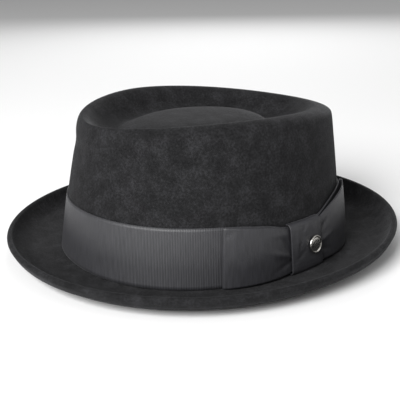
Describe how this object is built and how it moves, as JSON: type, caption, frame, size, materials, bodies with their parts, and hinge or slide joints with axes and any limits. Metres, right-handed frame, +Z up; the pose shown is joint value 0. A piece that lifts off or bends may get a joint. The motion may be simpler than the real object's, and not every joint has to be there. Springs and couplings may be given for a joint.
{
  "type": "pork pie hat",
  "caption": "Pork pie hat of moulded black wool felt with a telescope crown, a turned-up brim, a grosgrain band, a flat side bow and a small metal pin.",
  "frame": {"origin": "middle of the hat's bounding box, on the surface that the brim rests on", "axes": "+Z up, -Y towards the front of the hat, +X towards the wearer's left, where the bow is"},
  "size_m": [0.2723, 0.2833, 0.1008],
  "materials": {
    "wool_felt": "brushed black wool felt",
    "band_ribbon": "ribbed black grosgrain",
    "bow_ribbon": "finely ribbed black grosgrain",
    "pin_metal": "polished nickel"
  },
  "bodies": {
    "root": {"felt_body": "wool_felt", "hat_band": "band_ribbon", "bow_front_loop": "bow_ribbon", "bow_back_loop": "bow_ribbon", "bow_knot": "bow_ribbon", "pin": "pin_metal"}
  },
  "joints": []
}
